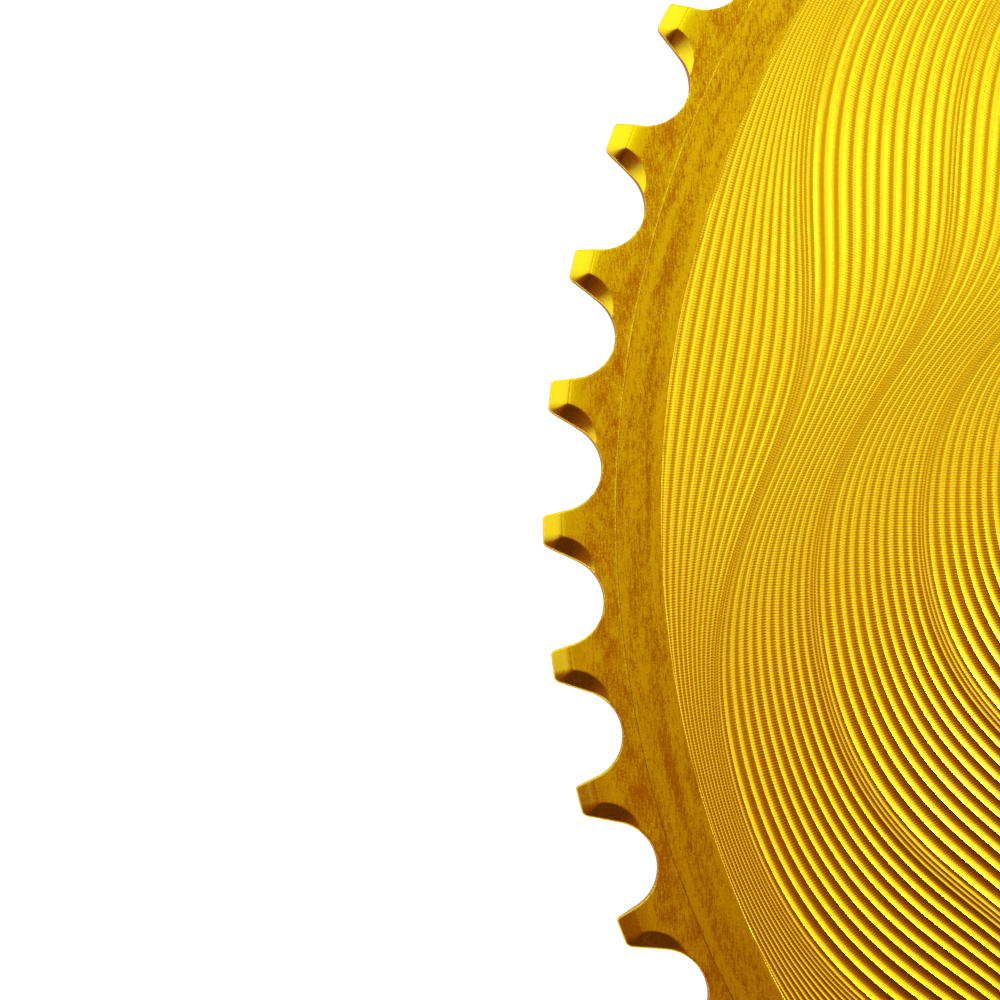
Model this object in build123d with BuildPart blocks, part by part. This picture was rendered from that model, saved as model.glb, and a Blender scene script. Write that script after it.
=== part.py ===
"""A bicycle chainring: one toothed plate with a field of wavy grooves on its face.

The ring lies flat with its axis along +Z. The back face is on Z = 0, the grooved face looks up,
and the origin is the centre of the bore on the back face. All sizes are in millimetres.
"""

import os
from math import asin, cos, floor, pi, radians, sin, sqrt, tan

from build123d import *

# Chain fit: the two flanks of a tooth lean by different angles from the tooth's own centre line
tip_diameter = 212.9
chain_pitch = 12.7
seat_radius = 4.2
leading_flank_angle = 10.9
trailing_flank_angle = 25.5

# Each corner of a tip is round: its arc leaves the flank smoothly and ends just past the tip circle
leading_corner_radius = 0.5
trailing_corner_radius = 0.9
corner_rise = 0.05

# Plate: a band round its edge is turned thinner on both faces, with a plain rim inside it
plate_thickness = 3.2
tooth_thickness = 2.1
band_step = 0.2
tooth_band_width = 6.9
rim_width = 4.2

# Bevels on both faces of each tooth: a turned one at the tip, and a countersink on its trailing flank
tip_bevel_width = 1.85
tip_bevel_depth = 0.7
countersink_radius = 3.55
countersink_slope = 23.5
countersink_offset = 2.6

# Wavy field: closed guide curves, each one further in and turned back from the one before
first_guide_inset = 6.55
guide_spacing = 11.06
guide_count = 4
wave_lobes = 7
wave_height = 4.5
wave_sharpness = 0.134
wave_start_angle = 169.8
wave_turn_back = 7.6
wave_crowding = 0.46

# Grooves between one guide curve and the next, which follow the turning wave all the way
ridges_per_band = 3
ridge_drop = 0.1
groove_depth = 0.5
points_per_lobe = 6

# Centre: a bore with a plain land round it, and bolt holes in flat bosses, a wall away from the bore
bore_diameter = 114.0
inner_land_width = 3.0
bolt_count = 5
bolt_hole_diameter = 10.0
bolt_wall = 3.0
boss_diameter = 15.0

# How far a cutter or a joined solid runs past the surface that it meets
overrun = 0.5

# As many whole teeth as fit with the pitch circle inside the tips
tooth_count = floor(pi / asin(chain_pitch / tip_diameter))
tooth_angle = 360 / tooth_count
pitch_radius = chain_pitch / (2 * sin(radians(tooth_angle / 2)))
root_radius = pitch_radius - seat_radius
tip_radius = tip_diameter / 2

# Each inner diameter and the bolt circle follow from the size outside or inside them
tooth_band_diameter = tip_diameter - 2 * tooth_band_width
field_diameter = tooth_band_diameter - 2 * rim_width
bolt_circle = bore_diameter + bolt_hole_diameter + 2 * bolt_wall
band_radius = tooth_band_diameter / 2
field_radius = field_diameter / 2
bore_radius = bore_diameter / 2
tooth_front = plate_thickness - band_step
tooth_back = tooth_front - tooth_thickness
ridge_level = plate_thickness - ridge_drop
groove_level = ridge_level - groove_depth


def wave_radius(place, angle):
    """Radius of a curve at an angle in degrees. Place 0 is the field's edge, place 1 the first guide."""
    guides_in = max(place, 1) - 1
    turned = angle - wave_start_angle + guides_in * wave_turn_back
    phase = wave_lobes * radians(turned) + wave_crowding * sin(radians(angle))
    wave = cos(phase) + wave_sharpness * cos(2 * phase)
    inset = first_guide_inset + guides_in * guide_spacing + wave_height * wave
    return field_radius - inset * min(place, 1)


def ridge_outline(level, place):
    """Return the closed curve of a place as a face at a height."""
    point_count = wave_lobes * points_per_lobe
    points = []
    for step in range(point_count):
        angle = 360 * step / point_count
        radius = wave_radius(place, angle)
        points.append((radius * cos(radians(angle)), radius * sin(radians(angle))))
    with BuildSketch(Plane.XY.offset(level)) as outline:
        with BuildLine():
            Spline(points, periodic=True)
        make_face()
    return outline.sketch


def gullet_side(flank_angle, corner_radius, side):
    """Points up one side of the gap between two teeth, from the end of its seat to past the tips."""
    slope = radians(flank_angle + tooth_angle / 2)
    flank_way = Vector(cos(slope), side * sin(slope))
    tooth_way = Vector(-sin(slope), side * cos(slope))
    seat_end = Vector(pitch_radius, 0) + tooth_way * seat_radius
    base = seat_end + tooth_way * corner_radius
    reach = tip_radius + corner_rise - corner_radius
    along = base.dot(flank_way)
    centre = base + flank_way * (sqrt(along**2 - base.length**2 + reach**2) - along)
    outward = centre.normalized()
    corner_start = centre - tooth_way * corner_radius
    corner_middle = centre + (outward - tooth_way).normalized() * corner_radius
    corner_end = centre + outward * corner_radius
    return seat_end, corner_start, corner_middle, corner_end, corner_end + outward * overrun


# The gap between two teeth: a round seat, two flanks, and a countersink against the tooth before it
sides = [
    gullet_side(trailing_flank_angle, trailing_corner_radius, -1),
    gullet_side(leading_flank_angle, leading_corner_radius, 1),
]
countersink_rise = tan(radians(countersink_slope))
waist_level = (tooth_front + tooth_back) / 2
wide_x = pitch_radius + countersink_radius + overrun / countersink_rise
narrow_x = pitch_radius + countersink_radius - (tooth_front - waist_level) / countersink_rise
with BuildPart() as gullet:
    with BuildSketch(Plane.XY.offset(-overrun)):
        with BuildLine():
            ThreePointArc(sides[0][0], (root_radius, 0), sides[1][0])
            for seat_end, corner_start, corner_middle, corner_end, beyond in sides:
                Line(seat_end, corner_start)
                ThreePointArc(corner_start, corner_middle, corner_end)
                Line(corner_end, beyond)
            Line(sides[0][-1], sides[1][-1])
        make_face()
    extrude(amount=plate_thickness + 2 * overrun)
    with BuildSketch(Plane.XZ.offset(countersink_offset)):
        with BuildLine():
            Polyline(
                (pitch_radius, tooth_back - overrun),
                (wide_x, tooth_back - overrun),
                (narrow_x, waist_level),
                (wide_x, tooth_front + overrun),
                (pitch_radius, tooth_front + overrun),
                close=True,
            )
        make_face()
    revolve(axis=Axis((pitch_radius, -countersink_offset, 0), (0, 0, 1)))

# The grooved disc: straight-sided ridges and grooves, from the rim inwards
with BuildPart() as wavy_field:
    for level in (0, groove_level):
        with BuildSketch(Plane.XY.offset(level)):
            Circle(field_radius + overrun)
    for band in range(guide_count):
        for ridge in range(ridges_per_band):
            add(ridge_outline(ridge_level, band + (ridge + 0.5) / ridges_per_band))
            add(ridge_outline(groove_level, band + (ridge + 1) / ridges_per_band))
    loft(ruled=True)

# The whole ring in one piece
with BuildPart() as chainring:
    with BuildSketch(Plane.XZ):
        with BuildLine():
            Polyline(
                (field_radius, 0),
                (band_radius, 0),
                (band_radius, tooth_back),
                (tip_radius - tip_bevel_width, tooth_back),
                (tip_radius, tooth_back + tip_bevel_depth),
                (tip_radius, tooth_front - tip_bevel_depth),
                (tip_radius - tip_bevel_width, tooth_front),
                (band_radius, tooth_front),
                (band_radius, plate_thickness),
                (field_radius, plate_thickness),
                close=True,
            )
        make_face()
    revolve(axis=Axis.Z)
    with PolarLocations(0, tooth_count, start_angle=tooth_angle / 2):
        add(gullet.part, mode=Mode.SUBTRACT)
    add(wavy_field.part)
    with BuildSketch():
        Circle(bore_radius + inner_land_width)
        with PolarLocations(bolt_circle / 2, bolt_count):
            Circle(boss_diameter / 2)
    extrude(amount=plate_thickness)
    with BuildSketch():
        Circle(bore_radius)
        with PolarLocations(bolt_circle / 2, bolt_count):
            Circle(bolt_hole_diameter / 2)
    extrude(amount=plate_thickness, mode=Mode.SUBTRACT)

chainring.part.label = "chainring"
os.makedirs("parts", exist_ok=True)
export_step(chainring.part, "parts/chainring.step")
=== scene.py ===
"""Looks of a bicycle chainring: its grooved face, teeth, finish, floor, light and camera."""

from math import asin, atan2, cos, degrees, floor, hypot, pi, radians, sin, sqrt, tan

import bpy
import numpy as np
from mathutils import Matrix, Vector


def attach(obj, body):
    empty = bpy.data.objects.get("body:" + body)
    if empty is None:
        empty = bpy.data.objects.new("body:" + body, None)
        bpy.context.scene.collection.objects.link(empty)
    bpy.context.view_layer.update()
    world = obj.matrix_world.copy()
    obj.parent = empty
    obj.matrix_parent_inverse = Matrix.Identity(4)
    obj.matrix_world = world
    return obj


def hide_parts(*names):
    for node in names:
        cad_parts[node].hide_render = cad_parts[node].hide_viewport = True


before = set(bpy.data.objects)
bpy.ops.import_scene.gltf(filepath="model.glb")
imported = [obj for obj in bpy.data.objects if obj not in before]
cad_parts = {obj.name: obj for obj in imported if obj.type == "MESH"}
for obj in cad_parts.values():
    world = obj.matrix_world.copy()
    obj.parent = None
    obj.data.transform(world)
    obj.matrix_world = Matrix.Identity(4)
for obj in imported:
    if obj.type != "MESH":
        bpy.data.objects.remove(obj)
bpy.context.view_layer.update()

MM = 0.001

# Sizes in millimetres and angles in degrees, the same as the part's own
TIP_RADIUS = 106.45
CHAIN_PITCH = 12.7
SEAT_RADIUS = 4.2
LEADING_FLANK_ANGLE = 10.9
TRAILING_FLANK_ANGLE = 25.5
LEADING_CORNER_RADIUS = 0.5
TRAILING_CORNER_RADIUS = 0.9
CORNER_RISE = 0.05
PLATE_THICKNESS = 3.2
TOOTH_THICKNESS = 2.1
BAND_STEP = 0.2
TOOTH_BAND_WIDTH = 6.9
RIM_WIDTH = 4.2
TIP_BEVEL_WIDTH = 1.85
TIP_BEVEL_DEPTH = 0.7
COUNTERSINK_RADIUS = 3.55
COUNTERSINK_SLOPE = 23.5
COUNTERSINK_OFFSET = 2.6
BORE_RADIUS = 57.0
LAND_RADIUS = 60.0
BOLT_COUNT = 5
BOLT_HOLE_RADIUS = 5.0
BOLT_CIRCLE_RADIUS = 65.0
BOSS_RADIUS = 7.5
OVERRUN = 0.5

TOOTH_FRONT = PLATE_THICKNESS - BAND_STEP
TOOTH_BACK = TOOTH_FRONT - TOOTH_THICKNESS
BAND_RADIUS = TIP_RADIUS - TOOTH_BAND_WIDTH
FIELD_RADIUS = BAND_RADIUS - RIM_WIDTH
BEVEL_START = TIP_RADIUS - TIP_BEVEL_WIDTH
TOOTH_COUNT = floor(pi / asin(CHAIN_PITCH / (2 * TIP_RADIUS)))
TOOTH_ANGLE = 360 / TOOTH_COUNT
PITCH_RADIUS = CHAIN_PITCH / (2 * sin(radians(TOOTH_ANGLE / 2)))

# Guide curves of the wavy field, the same as the part's own
FIRST_GUIDE_INSET = 6.55
GUIDE_SPACING = 11.06
GUIDE_COUNT = 4
WAVE_LOBES = 7
WAVE_HEIGHT = 4.5
WAVE_SHARPNESS = 0.134
WAVE_START_ANGLE = 169.8
WAVE_TURN_BACK = 7.6
WAVE_CROWDING = 0.46

# Crests between the grooves, by place: 1 on the first guide, and 1 more on each guide further in.
# Place 0 runs out past the field's edge. Fine grooves lie on each guide, wide ones between guides.
RUN_OUT = 0.93
FIRST_CREST = 0.917
BAND_PERIOD = 0.975
FINE_WIDTHS = (0.071, 0.034, 0.028, 0.044)
WIDE_GROOVES = 9
WIDE_NARROWING = 0.07
EDGE_GROOVES = 10
EDGE_GROOVE_WIDTH = 0.0866
LAST_PLACE = 4.2

# Section of a groove: an arc whose radius grows with the groove's width
CUTTER_BASE = 0.3
CUTTER_SHARE = 0.95
CREST_DROP = 0.015

# Small forms: broken edges, chamfered holes, and a line between the rim and the tooth band
EDGE_BREAK = 0.06
HOLE_CHAMFER = 0.3
BAND_LINE_WIDTH = 0.07
BAND_LINE_DEPTH = 0.025

# How fine the mesh is. Grooves up to the fine width have fewer steps, and rows that end at the
# field's edge keep a gap from one to the next.
COLUMNS = TOOTH_COUNT * 7
GROOVE_STEPS = 5
FINE_STEPS = 3
FINE_WIDTH = 0.06
EDGE_GAP = 0.002
ARC_STEPS = 24
CORNER_STEPS = 10
FAN_REACH = 3.0
CONE_STEPS = 72
BORE_STEPS = 256
RUN_STEPS = 4000

# Surfaces of the mesh, told apart by the upward part of a face's normal
GROOVES, PLATE, BAND, BEVEL, WALL = range(5)
FLAT_UP = 0.999
GROOVE_UP = 0.4
WALL_UP = 0.3
SHARP_ANGLE = 12
FIELD_TOLERANCE = 0.001
CREST_TOLERANCE = 0.02

angles = np.arange(COLUMNS) * 2 * pi / COLUMNS


def wave_radius(place, theta):
    """Radius of the curve of a place at angles in radians."""
    guides_in = max(place, 1) - 1
    turned = theta - radians(WAVE_START_ANGLE - guides_in * WAVE_TURN_BACK)
    phase = WAVE_LOBES * turned + WAVE_CROWDING * np.sin(theta)
    wave = np.cos(phase) + WAVE_SHARPNESS * np.cos(2 * phase)
    inset = FIRST_GUIDE_INSET + guides_in * GUIDE_SPACING + WAVE_HEIGHT * wave
    return FIELD_RADIUS + RUN_OUT - (inset + RUN_OUT) * min(place, 1)


def crest_places():
    """Places of the crests, from the edge inwards."""
    places = [FIRST_CREST - EDGE_GROOVE_WIDTH * count for count in range(EDGE_GROOVES, 0, -1)]
    fine = sum(FINE_WIDTHS)
    for band in range(GUIDE_COUNT):
        start = FIRST_CREST + band * BAND_PERIOD
        places += [start + sum(FINE_WIDTHS[:count]) for count in range(len(FINE_WIDTHS))]
        for groove in range(WIDE_GROOVES):
            share = groove / WIDE_GROOVES
            share += WIDE_NARROWING * share * (1 - share)
            places.append(start + fine + (BAND_PERIOD - fine) * share)
    return [place for place in places if place < LAST_PLACE]


CRESTS = crest_places()


def groove_rows():
    """Rows of radii and heights over round-bottomed grooves, each cut off at the edge of the field."""
    rows = []
    for place, after in zip(CRESTS, CRESTS[1:]):
        steps = GROOVE_STEPS if after - place > FINE_WIDTH else FINE_STEPS
        outer = wave_radius(place, angles)
        width = outer - wave_radius(after, angles)
        cutter = CUTTER_BASE + CUTTER_SHARE * width
        rim_depth = np.sqrt(cutter**2 - (width / 2) ** 2)
        for step in range(steps):
            radius = wave_radius(place + (after - place) * step / steps, angles)
            off_middle = outer - radius - width / 2
            depth = np.sqrt(cutter**2 - off_middle**2) - rim_depth
            limit = FIELD_RADIUS - EDGE_GAP * len(rows)
            height = np.where(radius < limit, PLATE_THICKNESS - CREST_DROP - depth, PLATE_THICKNESS)
            rows.append((np.minimum(radius, limit), height))
    return rows


def ring_row(radius, height):
    """One row of the same radius and height all round."""
    return np.full(COLUMNS, radius), np.full(COLUMNS, height)


def blank_rows():
    """Section of the uncut disc, from its back face round the edge and in over the grooves."""
    rows = [
        ring_row(BAND_RADIUS - EDGE_BREAK, 0),
        ring_row(BAND_RADIUS, EDGE_BREAK),
        ring_row(BAND_RADIUS, TOOTH_BACK),
        ring_row(BEVEL_START, TOOTH_BACK),
        ring_row(TIP_RADIUS, TOOTH_BACK + TIP_BEVEL_DEPTH),
        ring_row(TIP_RADIUS, TOOTH_FRONT - TIP_BEVEL_DEPTH),
        ring_row(BEVEL_START, TOOTH_FRONT),
        ring_row(BAND_RADIUS + BAND_LINE_WIDTH, TOOTH_FRONT),
        ring_row(BAND_RADIUS + BAND_LINE_WIDTH / 2, TOOTH_FRONT - BAND_LINE_DEPTH),
        ring_row(BAND_RADIUS, TOOTH_FRONT),
        ring_row(BAND_RADIUS - EDGE_BREAK / 2, PLATE_THICKNESS),
        ring_row(FIELD_RADIUS + EDGE_BREAK / 2, PLATE_THICKNESS),
    ]
    return rows + groove_rows()


def mesh_object(name, points, faces):
    """Make an object from points in millimetres."""
    mesh = bpy.data.meshes.new(name)
    mesh.from_pydata((np.asarray(points) * MM).tolist(), [], faces)
    mesh.update()
    obj = bpy.data.objects.new(name, mesh)
    bpy.context.scene.collection.objects.link(obj)
    return obj


def lifted(x, y, height):
    """Points over a plan, at one height or at one for each point."""
    return np.stack([x, y, np.broadcast_to(height, x.shape)], axis=1)


def turned_points(rows, theta, centre):
    """Points of rings about an upright axis: one point for each angle of each row."""
    points = []
    for radius, height in rows:
        x = centre[0] + radius * np.cos(theta)
        y = centre[1] + radius * np.sin(theta)
        points.append(lifted(x, y, height))
    return np.concatenate(points)


def ring_faces(row_count, columns, first=0):
    """Faces between rows of points that each close on themselves."""
    faces = []
    for row in range(row_count - 1):
        lower = first + row * columns
        upper = lower + columns
        for c in range(columns):
            after = (c + 1) % columns
            faces.append([lower + c, lower + after, upper + after, upper + c])
    return faces


def turned_faces(row_count, columns, first):
    """Faces of a closed turned solid whose rows run from its bottom, outwards and up, to its top."""
    bottom = [first + c for c in reversed(range(columns))]
    last = first + (row_count - 1) * columns
    top = [last + c for c in range(columns)]
    return [bottom, *ring_faces(row_count, columns, first), top]


def turned_tools(name, rows, centres, steps):
    """One object with the same turned solid at each centre."""
    theta = np.arange(steps) * 2 * pi / steps
    points = []
    faces = []
    for index, centre in enumerate(centres):
        points.append(turned_points(rows, theta, centre))
        faces += turned_faces(len(rows), steps, index * steps * len(rows))
    return mesh_object(name, np.concatenate(points), faces)


def combine(target, tool, operation):
    """Join a tool to an object, or cut it away, and delete the tool."""
    modifier = target.modifiers.new("tool", "BOOLEAN")
    modifier.object = tool
    modifier.operation = operation
    modifier.solver = "MANIFOLD"
    depsgraph = bpy.context.evaluated_depsgraph_get()
    made = bpy.data.meshes.new_from_object(target.evaluated_get(depsgraph))
    target.modifiers.clear()
    before = target.data
    target.data = made
    bpy.data.meshes.remove(before)
    bpy.data.objects.remove(tool)


def polar(radius, count, start=0.0):
    """Centres of a number of copies on a circle."""
    turns = [radians(start) + 2 * pi * index / count for index in range(count)]
    return [(radius * cos(turn), radius * sin(turn)) for turn in turns]


def at_gaps(plan):
    """X and Y of a plan that is drawn on the X axis, at each gap between two teeth in turn."""
    for gap in range(TOOTH_COUNT):
        turn = radians((gap + 0.5) * TOOTH_ANGLE)
        x = plan[:, 0] * cos(turn) - plan[:, 1] * sin(turn)
        y = plan[:, 0] * sin(turn) + plan[:, 1] * cos(turn)
        yield x, y


def arc_points(centre, radius, first, last, steps):
    """Points along an arc between two angles in radians."""
    turns = np.linspace(first, last, steps + 1)
    return [(centre[0] + radius * cos(turn), centre[1] + radius * sin(turn)) for turn in turns]


def gullet_side(flank_angle, corner_radius, side):
    """Outline up one side of a gap between two teeth: the tooth's round corner, and a point beyond it."""
    slope = radians(flank_angle + TOOTH_ANGLE / 2)
    flank_way = Vector((cos(slope), side * sin(slope)))
    tooth_way = Vector((-sin(slope), side * cos(slope)))
    base = Vector((PITCH_RADIUS, 0)) + tooth_way * (SEAT_RADIUS + corner_radius)
    reach = TIP_RADIUS + CORNER_RISE - corner_radius
    along = base.dot(flank_way)
    centre = base + flank_way * (sqrt(along**2 - base.length_squared + reach**2) - along)
    outward = centre.normalized()
    ends = [atan2(way.y, way.x) for way in (-tooth_way, outward)]
    corner = arc_points(centre, corner_radius, *ends, CORNER_STEPS)
    return [*corner, tuple(Vector(corner[-1]) + outward * OVERRUN)]


def gullet_outline():
    """Outline of one gap between two teeth, on the X axis: its round seat and its two sides."""
    before = pi / 2 - radians(TRAILING_FLANK_ANGLE + TOOTH_ANGLE / 2)
    after = pi / 2 - radians(LEADING_FLANK_ANGLE + TOOTH_ANGLE / 2)
    seat = arc_points((PITCH_RADIUS, 0), SEAT_RADIUS, pi - after, pi + before, ARC_STEPS)
    trailing = gullet_side(TRAILING_FLANK_ANGLE, TRAILING_CORNER_RADIUS, -1)
    leading = gullet_side(LEADING_FLANK_ANGLE, LEADING_CORNER_RADIUS, 1)
    return [*seat, *trailing, *reversed(leading)]


def gullet_tools():
    """One object with an upright prism in each gap between two teeth."""
    outline = np.array(gullet_outline())
    points = []
    faces = []
    for x, y in at_gaps(outline):
        faces += turned_faces(2, len(outline), len(points) * len(outline))
        points += [lifted(x, y, height) for height in (-OVERRUN, PLATE_THICKNESS + OVERRUN)]
    return mesh_object("gullets", np.concatenate(points), faces)


def countersink_tools():
    """One object with a double cone against the trailing flank of each tooth."""
    rise = tan(radians(COUNTERSINK_SLOPE))
    waist = (TOOTH_FRONT + TOOTH_BACK) / 2
    wide = COUNTERSINK_RADIUS + OVERRUN / rise
    narrow = COUNTERSINK_RADIUS - (TOOTH_FRONT - waist) / rise
    cone = [(wide, TOOTH_BACK - OVERRUN), (narrow, waist), (wide, TOOTH_FRONT + OVERRUN)]
    aside = degrees(atan2(COUNTERSINK_OFFSET, PITCH_RADIUS))
    reach = hypot(COUNTERSINK_OFFSET, PITCH_RADIUS)
    centres = polar(reach, TOOTH_COUNT, TOOTH_ANGLE / 2 - aside)
    return turned_tools("countersinks", cone, centres, CONE_STEPS)


def corner_fan():
    """Plan of a fan from the tip's bevel round to the countersink, apex last, and each point's drop."""
    centre = Vector((PITCH_RADIUS, -COUNTERSINK_OFFSET))
    along = (BEVEL_START**2 - COUNTERSINK_RADIUS**2 + centre.length_squared) / (2 * centre.length)
    across = sqrt(BEVEL_START**2 - along**2)
    way = centre.normalized()
    apex = way * along + Vector((way.y, -way.x)) * across
    ends = [atan2(side.y, side.x) for side in (apex.normalized(), (centre - apex).normalized())]
    turns = np.linspace(*ends, CORNER_STEPS + 1)
    bevel_slope = TIP_BEVEL_DEPTH / TIP_BEVEL_WIDTH
    slopes = np.linspace(bevel_slope, tan(radians(COUNTERSINK_SLOPE)), CORNER_STEPS + 1)
    x = np.append(apex.x + FAN_REACH * np.cos(turns), apex.x)
    y = np.append(apex.y + FAN_REACH * np.sin(turns), apex.y)
    return np.stack([x, y], axis=1), np.append(slopes * FAN_REACH, 0)


def fan_faces(count, first):
    """Faces of a closed fan of two rows of points, each with its apex last."""
    faces = []
    apex = first + count - 1
    for step in range(first, apex - 1):
        faces.append([apex, step + 1, step])
        faces.append([apex + count, step + count, step + count + 1])
    return faces + ring_faces(2, count, first)


def corner_tools():
    """One object with a fan at each trailing corner of a tooth, on both faces."""
    plan, drop = corner_fan()
    count = len(plan)
    points = []
    faces = []
    front = (TOOTH_FRONT - drop, TOOTH_FRONT + OVERRUN)
    back = (TOOTH_BACK - OVERRUN, TOOTH_BACK + drop)
    for x, y in at_gaps(plan):
        for heights in (front, back):
            faces += fan_faces(count, len(points) * count)
            points += [lifted(x, y, height) for height in heights]
    return mesh_object("corners", np.concatenate(points), faces)


def flared(radius):
    """Section of a hole with a chamfer at the back and the front face."""
    flare = radius + HOLE_CHAMFER + OVERRUN
    return [
        (flare, -OVERRUN),
        (radius, HOLE_CHAMFER),
        (radius, PLATE_THICKNESS - HOLE_CHAMFER),
        (flare, PLATE_THICKNESS + OVERRUN),
    ]


def raised(radius):
    """Section of a raised flat round an opening, rooted inside the plate."""
    top = PLATE_THICKNESS
    return [(radius, top / 2), (radius, top - EDGE_BREAK), (radius - EDGE_BREAK, top)]


def build_ring():
    """The whole chainring as one closed mesh."""
    rows = blank_rows()
    points = turned_points(rows, angles, (0, 0))
    made = mesh_object("chainring_body", points, turned_faces(len(rows), COLUMNS, 0))
    for tools in (gullet_tools, countersink_tools, corner_tools):
        combine(made, tools(), "DIFFERENCE")

    bolts = polar(BOLT_CIRCLE_RADIUS, BOLT_COUNT)
    middle = [(0, 0)]
    combine(made, turned_tools("bosses", raised(BOSS_RADIUS), bolts, CONE_STEPS), "UNION")
    combine(made, turned_tools("land", raised(LAND_RADIUS), middle, BORE_STEPS), "UNION")
    combine(made, turned_tools("bolt_holes", flared(BOLT_HOLE_RADIUS), bolts, CONE_STEPS), "DIFFERENCE")
    combine(made, turned_tools("bore", flared(BORE_RADIUS), middle, BORE_STEPS), "DIFFERENCE")
    return made


def read(items, name, width=1, kind=np.float64):
    """One property of many mesh items as an array."""
    values = np.empty(len(items) * width, kind)
    items.foreach_get(name, values)
    return values.reshape(-1, width) if width > 1 else values


def groove_number(points):
    """Position across the field: a whole number on each crest, and -1 outside the field."""
    theta = np.arctan2(points[:, 1], points[:, 0]) % (2 * pi)
    radius = np.hypot(points[:, 0], points[:, 1])
    number = np.full(len(points), -1.0)
    outer = wave_radius(CRESTS[0], theta)
    for index, place in enumerate(CRESTS[1:]):
        inner = wave_radius(place, theta)
        inside = (radius <= outer + FIELD_TOLERANCE) & (radius >= inner - FIELD_TOLERANCE)
        inside &= radius < FIELD_RADIUS
        number = np.where(inside, index + (outer - radius) / (outer - inner), number)
        outer = inner
    return number


def run_lengths():
    """Length along the middle of each groove, in millimetres, up to each angle of a fine table."""
    theta = np.linspace(0, 2 * pi, RUN_STEPS + 1)
    tables = []
    for place, after in zip(CRESTS, CRESTS[1:]):
        radius = wave_radius((place + after) / 2, theta)
        steps = np.hypot(np.diff(radius), radius[:-1] * np.diff(theta))
        tables.append(np.concatenate([[0], np.cumsum(steps)]))
    return np.array(tables)


def face_surfaces(centres, up, in_field):
    """The surface that each face belongs to."""
    radius = np.hypot(centres[:, 0], centres[:, 1])
    flat = np.abs(up) > FLAT_UP
    surface = np.full(len(centres), BEVEL, np.int32)
    surface[np.abs(up) < WALL_UP] = WALL
    surface[flat] = PLATE
    surface[flat & (up > 0) & (radius > BAND_RADIUS)] = BAND
    surface[in_field] = GROOVES
    return surface


def sharp_edges(mesh, loop_in_field):
    """Which edges are sharp: in the field only the crests, and elsewhere those that turn enough."""
    edge_of = read(mesh.loops, "edge_index", kind=np.int32)
    field_sides = np.bincount(edge_of, weights=loop_in_field, minlength=len(mesh.edges))
    mesh.set_sharp_from_angle(angle=radians(SHARP_ANGLE))
    sharp = read(mesh.edges, "use_edge_sharp", kind=bool) & (field_sides < 2)
    points = read(mesh.vertices, "co", 3) / MM
    number = groove_number(points)
    crest = np.round(number)
    on_crest = (np.abs(number - crest) < CREST_TOLERANCE) & (number > -0.5)
    on_crest &= points[:, 2] > PLATE_THICKNESS - 2 * CREST_DROP
    start, end = read(mesh.edges, "vertices", 2, np.int32).T
    return sharp | (on_crest[start] & on_crest[end] & (crest[start] == crest[end]))


def groove_runs(mesh, centres, face_of, face_groove):
    """Length along its groove, and the groove itself, for each corner of each face."""
    points = read(mesh.vertices, "co", 3)[read(mesh.loops, "vertex_index", kind=np.int32)]
    middle = (np.arctan2(centres[:, 1], centres[:, 0]) % (2 * pi))[face_of]
    theta = np.arctan2(points[:, 1], points[:, 0])
    theta = middle + (theta - middle + pi) % (2 * pi) - pi
    tables = run_lengths()
    groove = np.clip(face_groove, 0, len(tables) - 1).astype(int)[face_of]
    place = np.clip(theta, 0, 2 * pi) / (2 * pi) * RUN_STEPS
    low = np.minimum(place.astype(int), RUN_STEPS - 1)
    rest = place - low
    run = tables[groove, low] * (1 - rest) + tables[groove, low + 1] * rest
    return np.stack([run, groove + 0.5], axis=1)


def finish_mesh(mesh):
    """Set surfaces, smooth shading, sharp edges, and the coordinate that runs along the grooves."""
    centres = read(mesh.polygons, "center", 3) / MM
    up = read(mesh.polygons, "normal", 3)[:, 2]
    number = groove_number(centres)
    in_field = (number >= 0) & (up > GROOVE_UP)
    in_field &= centres[:, 2] < PLATE_THICKNESS - CREST_DROP / 2
    face_of = np.repeat(np.arange(len(centres)), read(mesh.polygons, "loop_total", kind=np.int32))
    mesh.polygons.foreach_set("material_index", face_surfaces(centres, up, in_field))
    mesh.polygons.foreach_set("use_smooth", np.ones(len(centres), bool))
    mesh.edges.foreach_set("use_edge_sharp", sharp_edges(mesh, in_field[face_of]))
    runs = groove_runs(mesh, centres, face_of, np.floor(number))
    mesh.uv_layers.new(name="groove_run").data.foreach_set("uv", runs.ravel())
    mesh.update()


def feed(tree, socket, value):
    """Link an output to an input, or set the input's value."""
    if isinstance(value, bpy.types.NodeSocket):
        tree.links.new(value, socket)
    else:
        socket.default_value = value


def node(tree, kind, **inputs):
    """Add a shader node and feed its inputs by name, or by number as i0, i1 and so on."""
    made = tree.nodes.new(kind)
    for name, value in inputs.items():
        numbered = name[0] == "i" and name[1:].isdigit()
        feed(tree, made.inputs[int(name[1:]) if numbered else name.replace("_", " ")], value)
    return made


def calc(tree, operation, first, second=0.0, third=0.0):
    """Output of a math node on outputs or numbers."""
    made = node(tree, "ShaderNodeMath", i0=first, i1=second, i2=third)
    made.operation = operation
    return made.outputs[0]


def weighed(tree, parts, start=0.0):
    """Sum of a start and of outputs that are each multiplied by a share."""
    total = start
    for output, share in parts:
        total = calc(tree, "MULTIPLY_ADD", output, share, total)
    return total


def remap(tree, value, spread, target=(0.0, 1.0)):
    """Output of a smooth step from a spread of values to a target range."""
    limits = dict(From_Min=spread[0], From_Max=spread[1], To_Min=target[0], To_Max=target[1])
    made = node(tree, "ShaderNodeMapRange", Value=value, **limits)
    made.interpolation_type = "SMOOTHSTEP"
    return made.outputs["Result"]


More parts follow.
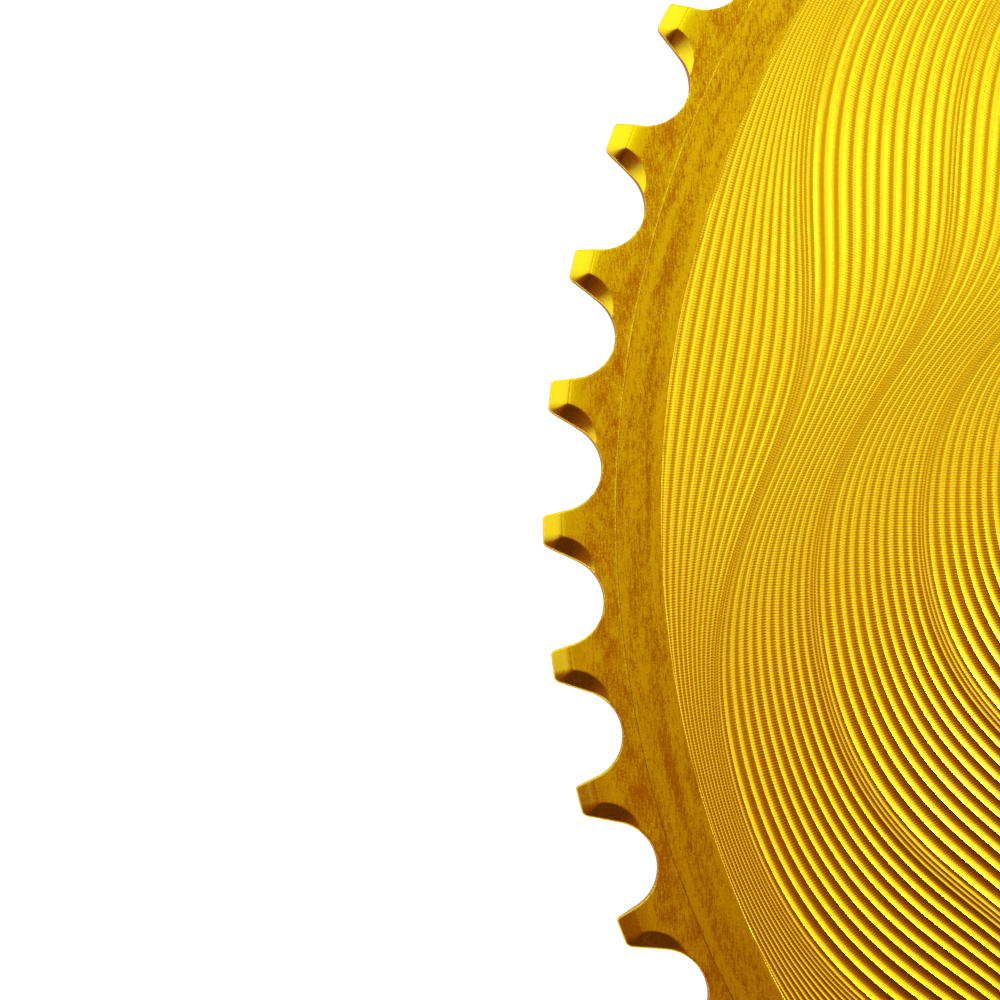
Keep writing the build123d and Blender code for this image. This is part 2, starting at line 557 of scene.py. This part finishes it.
def mixed(tree, share, first, second):
    """Output of a colour mix; colours are outputs or RGBA."""
    made = tree.nodes.new("ShaderNodeMix")
    made.data_type = "RGBA"
    sockets = {socket.identifier: socket for socket in made.inputs}
    feed(tree, sockets["Factor_Float"], share)
    feed(tree, sockets["A_Color"], first)
    feed(tree, sockets["B_Color"], second)
    return next(socket for socket in made.outputs if socket.identifier == "Result_Color")


def noise(tree, vector, detail=3.0, roughness=0.55):
    """Output of a noise with about one feature for each unit of its vector."""
    made = node(tree, "ShaderNodeTexNoise", Vector=vector, Scale=1.0, Detail=detail, Roughness=roughness)
    return made.outputs["Fac"]


def vector_math(tree, operation, **inputs):
    """A vector math node."""
    made = node(tree, "ShaderNodeVectorMath", **inputs)
    made.operation = operation
    return made


def scaled(tree, vector, factors):
    """A vector multiplied part by part."""
    return vector_math(tree, "MULTIPLY", i0=vector, i1=factors).outputs["Vector"]


def around(tree, place, radius, along, across):
    """A noise vector with features of a length along the ring and a width across it."""
    unit = vector_math(tree, "NORMALIZE", i0=scaled(tree, place, FLATTENED)).outputs["Vector"]
    reach = BAND_RADIUS / along
    turn = scaled(tree, unit, (reach, reach, 0))
    lift = node(tree, "ShaderNodeCombineXYZ", Z=calc(tree, "DIVIDE", radius, across)).outputs[0]
    return vector_math(tree, "ADD", i0=turn, i1=lift).outputs["Vector"]


def bumped(tree, height, distance, before=None):
    """Normal output of a bump whose height is in units of a distance in millimetres."""
    made = node(tree, "ShaderNodeBump", Strength=1.0, Distance=distance * MM, Height=height)
    if before is not None:
        tree.links.new(before, made.inputs["Normal"])
    return made.outputs["Normal"]


def soft_edge(tree):
    """Normal output that rounds the edges between faces slightly."""
    made = node(tree, "ShaderNodeBevel", Radius=SOFT_EDGE * MM)
    made.samples = SOFT_EDGE_SAMPLES
    return made.outputs["Normal"]


def tip_rounding(tree, radius, start, end, before):
    """Normal output for a round corner at the end radius: its slope grows from none at the start."""
    span = abs(end - start)
    way = calc(tree, "MULTIPLY", calc(tree, "SUBTRACT", radius, start), 1 if end > start else -1)
    along = calc(tree, "MINIMUM", calc(tree, "MAXIMUM", way, 0.0), span)
    height = calc(tree, "MULTIPLY", calc(tree, "MULTIPLY", along, along), -TIP_LEAN / (2 * span))
    return bumped(tree, height, 1.0, before)


def metal(name):
    """A new metal material, its tree, and outputs for place and radius in millimetres."""
    material = bpy.data.materials.new(name)
    material.use_nodes = True
    tree = material.node_tree
    tree.nodes["Principled BSDF"].inputs["Metallic"].default_value = 1.0
    local = node(tree, "ShaderNodeTexCoord").outputs["Object"]
    place = scaled(tree, local, TO_MILLIMETRES)
    radius = vector_math(tree, "LENGTH", i0=scaled(tree, place, FLATTENED)).outputs["Value"]
    return material, tree, place, radius


def dress(tree, tone, roughness, normal):
    """Feed a material's shader."""
    inputs = tree.nodes["Principled BSDF"].inputs
    feed(tree, inputs["Base Color"], tone)
    feed(tree, inputs["Roughness"], roughness)
    feed(tree, inputs["Normal"], normal)


TO_MILLIMETRES = (1000, 1000, 1000)
FLATTENED = (1, 1, 0)

# Colours of the metal
GOLD = (0.97, 0.75, 0.05, 1.0)
GOLD_PALE = (1.0, 0.79, 0.06, 1.0)
PLATE_LIGHT = (1.0, 0.84, 0.025, 1.0)
PLATE_DEEP = (0.66, 0.34, 0.01, 1.0)
BAND_LIGHT = (1.0, 0.86, 0.025, 1.0)
BAND_DEEP = (0.72, 0.385, 0.012, 1.0)
# Painted shade: the walls take a deeper, darker copy of the gold
WALL_SHADE_LIGHT = (0.50, 0.22, 0.004, 1.0)
WALL_SHADE_DARK = (0.36, 0.13, 0.002, 1.0)

# Features of a noise for each millimetre along X, Y and Z
GRAIN = (6, 0.9, 1)
PLATE_SPECK = (9, 5, 1)
BAND_SPECK = (7, 5, 1)
BAND_PATCH = (0.6, 0.3, 1)
BEVEL_SPECK = (6, 4, 4)
EVEN_SPECK = (4, 4, 4)
BAND_RINGS = (6, 0, 0)

# Long streaks on the plate, and a darker ring of painted reflection along its rim: half widths where it is
# full and gone
STREAK_LENGTH = 9
STREAK_WIDTH = 0.9
PAINTED_RING_RADIUS = 97.2
PAINTED_RING_REACH = (0.2, 1.2)
PAINTED_RING_SHARE = (0.06, 0.0)

# Spreads of the noises that tones and roughness follow, and the roughness at their two ends
SPECK_SPREAD = (0.3, 0.7)
PLATE_SPREAD = (0.38, 0.56)
PLATE_ROUGHNESS_SPREAD = (0.35, 0.65)
BAND_SPREAD = (0.42, 0.58)
GROOVE_ROUGHNESS = (0.16, 0.22)
PLATE_ROUGHNESS = (0.34, 0.24)
BAND_ROUGHNESS = (0.32, 0.24)
BEVEL_ROUGHNESS = (0.17, 0.23)
WALL_ROUGHNESS = (0.4, 0.5)

# Heights of bumps in millimetres, and the length of one cutter mark
CUTTER_STEP = 0.27
CUTTER_MARK_BUMP = 0.0025
GROOVE_SPECK_BUMP = 0.004
PLATE_GRAIN_BUMP = 0.006
PLATE_SPECK_BUMP = 0.005
BAND_RING_BUMP = 0.004
BAND_GRAIN_BUMP = 0.005
BAND_SPECK_BUMP = 0.004
BEVEL_SPECK_BUMP = 0.003
WALL_SPECK_BUMP = 0.004

# Soft edges, and the round corner between a tooth's face and its tip bevel: widths and slope
SOFT_EDGE = 0.3
SOFT_EDGE_SAMPLES = 6
TIP_LEAN = 0.19
FACE_ROUNDING = 1.3
BEVEL_ROUNDING = 0.9

# Painted highlight: a tooth's face grows lighter over this width up to its tip bevel
TIP_HIGHLIGHT_WIDTH = 3.0
TIP_HIGHLIGHT_SHARE = (0.0, 0.1)


def groove_material():
    """Ball-milled grooves: small regular cutter marks along each groove."""
    material, tree, place, _ = metal("gold_grooves")
    uv = tree.nodes.new("ShaderNodeUVMap")
    uv.uv_map = "groove_run"
    run = node(tree, "ShaderNodeSeparateXYZ", Vector=uv.outputs[0])
    shift = tree.nodes.new("ShaderNodeTexWhiteNoise")
    shift.noise_dimensions = "1D"
    tree.links.new(run.outputs["Y"], shift.inputs["W"])
    start = calc(tree, "MULTIPLY", shift.outputs["Value"], 2 * pi)
    turns = calc(tree, "MULTIPLY_ADD", run.outputs["X"], 2 * pi / CUTTER_STEP, start)
    speck = noise(tree, scaled(tree, place, EVEN_SPECK), 2)
    normal = bumped(tree, calc(tree, "SINE", turns), CUTTER_MARK_BUMP)
    normal = bumped(tree, speck, GROOVE_SPECK_BUMP, normal)
    tone = mixed(tree, remap(tree, speck, SPECK_SPREAD), GOLD, GOLD_PALE)
    dress(tree, tone, remap(tree, speck, SPECK_SPREAD, GROOVE_ROUGHNESS), normal)
    return material


def plate_material():
    """Rolled plate: short grain along Y, long streaks round the ring, and a painted reflection: a darker
    ring along the rim.
    """
    material, tree, place, radius = metal("gold_plate")
    grain = noise(tree, scaled(tree, place, GRAIN), 3, 0.75)
    patch = noise(tree, around(tree, place, radius, STREAK_LENGTH, STREAK_WIDTH), 3, 0.6)
    speck = noise(tree, scaled(tree, place, PLATE_SPECK), 2, 0.7)
    # Painted reflection: a darker ring along the middle of the rim
    ring_off = calc(tree, "ABSOLUTE", calc(tree, "SUBTRACT", radius, PAINTED_RING_RADIUS))
    painted_dark_ring = remap(tree, ring_off, PAINTED_RING_REACH, PAINTED_RING_SHARE)
    light = weighed(tree, [(grain, 0.40), (patch, 0.30), (speck, 0.30)])
    light = calc(tree, "SUBTRACT", light, calc(tree, "MULTIPLY", painted_dark_ring, patch))
    tone = mixed(tree, remap(tree, light, PLATE_SPREAD), PLATE_DEEP, PLATE_LIGHT)
    normal = bumped(tree, grain, PLATE_GRAIN_BUMP)
    normal = bumped(tree, speck, PLATE_SPECK_BUMP, normal)
    dress(tree, tone, remap(tree, light, PLATE_ROUGHNESS_SPREAD, PLATE_ROUGHNESS), normal)
    return material


def band_material():
    """Turned band: the plate's grain along Y with a fine speck, and a painted highlight that makes it
    lighter towards the tips.
    """
    material, tree, place, radius = metal("gold_band")
    radial = node(tree, "ShaderNodeCombineXYZ", X=radius).outputs[0]
    rings = noise(tree, scaled(tree, radial, BAND_RINGS), 1)
    speck = noise(tree, scaled(tree, place, BAND_SPECK), 2, 0.7)
    grain = noise(tree, scaled(tree, place, GRAIN), 3, 0.75)
    patch = noise(tree, scaled(tree, place, BAND_PATCH), 2, 0.6)
    # Painted highlight: the face grows lighter towards the tip bevel
    painted_tip_highlight = remap(tree, radius, (BEVEL_START - TIP_HIGHLIGHT_WIDTH, BEVEL_START), TIP_HIGHLIGHT_SHARE)
    light = weighed(tree, [(speck, 0.35), (grain, 0.40), (patch, 0.25)], painted_tip_highlight)
    tone = mixed(tree, remap(tree, light, BAND_SPREAD), BAND_DEEP, BAND_LIGHT)
    normal = bumped(tree, rings, BAND_RING_BUMP, soft_edge(tree))
    normal = bumped(tree, grain, BAND_GRAIN_BUMP, normal)
    normal = bumped(tree, speck, BAND_SPECK_BUMP, normal)
    normal = tip_rounding(tree, radius, BEVEL_START - FACE_ROUNDING, BEVEL_START, normal)
    dress(tree, tone, remap(tree, speck, SPECK_SPREAD, BAND_ROUGHNESS), normal)
    return material


def bevel_material():
    """Bright machined bevels."""
    material, tree, place, radius = metal("gold_bevel")
    speck = noise(tree, scaled(tree, place, BEVEL_SPECK), 2, 0.6)
    tone = mixed(tree, remap(tree, speck, SPECK_SPREAD), GOLD, GOLD_PALE)
    normal = bumped(tree, speck, BEVEL_SPECK_BUMP, soft_edge(tree))
    normal = tip_rounding(tree, radius, BEVEL_START + BEVEL_ROUNDING, BEVEL_START, normal)
    dress(tree, tone, remap(tree, speck, SPECK_SPREAD, BEVEL_ROUGHNESS), normal)
    return material


def shaded_wall_material():
    """Edges of the cut-out plate: duller than its faces, and deeper in colour as painted shade."""
    material, tree, place, _ = metal("gold_wall_painted_shade")
    speck = noise(tree, scaled(tree, place, EVEN_SPECK), 2, 0.6)
    # Painted shade: deeper, darker gold on the walls
    tone = mixed(tree, remap(tree, speck, SPECK_SPREAD), WALL_SHADE_DARK, WALL_SHADE_LIGHT)
    normal = bumped(tree, speck, WALL_SPECK_BUMP, soft_edge(tree))
    dress(tree, tone, remap(tree, speck, SPECK_SPREAD, WALL_ROUGHNESS), normal)
    return material


# The floor in metres: its radius and height from the flat outwards. It lies just below the part.
FLOOR_PROFILE = [(3.0, 0.0), (3.6, 0.08), (4.0, 0.35), (4.2, 0.9)]
FLOOR_GAP = 0.05 * MM
FLOOR_STEPS = 96
FLOOR_PATCH = (3, 3, 3)
FLOOR_TONES = (0.9, 0.9, 0.9, 1), (0.93, 0.93, 0.93, 1)
FLOOR_GLOW = 1.1

# Room light by how far a direction leans to the top of the picture: share from end to end, colour
LEAN_LIMIT = 0.6
ROOM_TONES = [
    (0.04, (0.165, 0.06, 0.01, 1)),
    (0.21, (0.32, 0.135, 0.02, 1)),
    (0.33, (0.36, 0.155, 0.03, 1)),
    (0.44, (0.45, 0.20, 0.04, 1)),
    (0.575, (0.69, 0.49, 0.07, 1)),
    (0.70, (0.76, 0.62, 0.10, 1)),
    (0.83, (0.82, 0.72, 0.14, 1)),
]

# The room is bright all round up to a height, for views from the side
HORIZON_TONE = (0.95, 0.85, 0.55, 1)
HORIZON_REACH = (0.36, 0.56)

# Softboxes: name, direction from the target, width, height and distance in metres, colour
LIGHT_TARGET = Vector((-0.085, 0.0, 0.0))
SOFTBOXES = [
    ("panel_right", (0.58, 0.13, 0.80), 1.1, 0.97, 1.3, (0.26, 0.42, 0.66)),
    ("key_right", (0.67, 0.45, 0.59), 0.3, 0.26, 1.2, (22, 22, 22)),
    ("strip_left", (-0.55, 0.36, 0.75), 1.35, 0.85, 1.3, (0.32, 0.54, 0.8)),
]

# The camera: turns in degrees, and its place in millimetres along its own axes from the ring's centre
CAMERA_TURN_X = -5.4
CAMERA_TURN_Y = 0.2
CAMERA_TURN_Z = 0.804
CAMERA_PLACE = Vector((-110.49, 1.73, 283.21))
SENSOR_WIDTH = 36
FOCAL_LENGTH = 108
VIEW_GAMMA = 0.71


def studio_floor():
    """A pale floor that turns up into a low wall far from the part."""
    theta = np.arange(FLOOR_STEPS) * 2 * pi / FLOOR_STEPS
    rows = [(radius / MM, (height - FLOOR_GAP) / MM) for radius, height in FLOOR_PROFILE]
    points = turned_points(rows, theta, (0, 0))
    faces = [list(range(FLOOR_STEPS)), *ring_faces(len(rows), FLOOR_STEPS)]
    plane = mesh_object("studio_floor", points, faces)
    for face in plane.data.polygons:
        face.use_smooth = True
    material = bpy.data.materials.new("pale_floor")
    material.use_nodes = True
    tree = material.node_tree
    inputs = tree.nodes["Principled BSDF"].inputs
    local = node(tree, "ShaderNodeTexCoord").outputs["Object"]
    tone = mixed(tree, noise(tree, scaled(tree, local, FLOOR_PATCH)), *FLOOR_TONES)
    feed(tree, inputs["Base Color"], tone)
    inputs["Roughness"].default_value = 0.9
    inputs["Specular IOR Level"].default_value = 0.1
    inputs["Emission Color"].default_value = (1, 1, 1, 1)
    inputs["Emission Strength"].default_value = FLOOR_GLOW
    plane.data.materials.append(material)


def studio_world():
    """Warm room light that grows brighter and paler from the bottom of the picture to its top."""
    world = bpy.data.worlds.new("studio")
    world.use_nodes = True
    tree = world.node_tree
    direction = node(tree, "ShaderNodeTexCoord").outputs["Generated"]
    parts = node(tree, "ShaderNodeSeparateXYZ", Vector=direction).outputs
    lean = node(tree, "ShaderNodeMapRange", Value=parts["Y"], From_Min=-LEAN_LIMIT, From_Max=LEAN_LIMIT)
    tones = node(tree, "ShaderNodeValToRGB", Fac=lean.outputs["Result"])
    stops = tones.color_ramp.elements
    while len(stops) < len(ROOM_TONES):
        stops.new(0.5)
    for stop, (position, colour) in zip(stops, ROOM_TONES):
        stop.position = position
        stop.color = colour
    low = remap(tree, parts["Z"], HORIZON_REACH, (1.0, 0.0))
    inputs = tree.nodes["Background"].inputs
    feed(tree, inputs["Color"], mixed(tree, low, tones.outputs["Color"], HORIZON_TONE))
    inputs["Strength"].default_value = 1.0
    bpy.context.scene.world = world


def softbox(name, direction, width, height, distance, colour):
    """An area light that faces the left of the ring. Its power follows its area, so colour sets its tone."""
    toward = Vector(direction).normalized()
    light = bpy.data.lights.new(name, "AREA")
    light.shape = "RECTANGLE"
    light.size = width
    light.size_y = height
    light.color = colour
    light.energy = pi * width * height
    obj = bpy.data.objects.new(name, light)
    obj.location = LIGHT_TARGET + toward * distance
    obj.rotation_euler = toward.to_track_quat("Z", "Y").to_euler()
    obj.visible_camera = False
    bpy.context.scene.collection.objects.link(obj)


def studio_camera():
    """The camera at the photograph's viewing angle."""
    turns = (("Y", CAMERA_TURN_Y), ("X", CAMERA_TURN_X), ("Z", CAMERA_TURN_Z))
    about_y, about_x, about_z = [Matrix.Rotation(radians(angle), 3, axis) for axis, angle in turns]
    back = (about_y @ about_x @ about_z).transposed()
    place = back @ CAMERA_PLACE + Vector((0, 0, TOOTH_FRONT))
    camera = bpy.data.cameras.new("camera")
    camera.sensor_width = SENSOR_WIDTH
    camera.lens = FOCAL_LENGTH
    camera.clip_start = 0.01
    camera.clip_end = 20
    obj = bpy.data.objects.new("camera", camera)
    obj.matrix_world = Matrix.Translation(place * MM) @ back.to_4x4()
    bpy.context.scene.collection.objects.link(obj)
    bpy.context.scene.camera = obj


ring = build_ring()
ring.data.materials.clear()
for make in (groove_material, plate_material, band_material, bevel_material, shaded_wall_material):
    ring.data.materials.append(make())
finish_mesh(ring.data)
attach(ring, "root")
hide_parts("chainring")

studio_floor()
studio_world()
for box in SOFTBOXES:
    softbox(*box)
studio_camera()
bpy.context.scene.view_settings.view_transform = "Standard"
bpy.context.scene.view_settings.gamma = VIEW_GAMMA
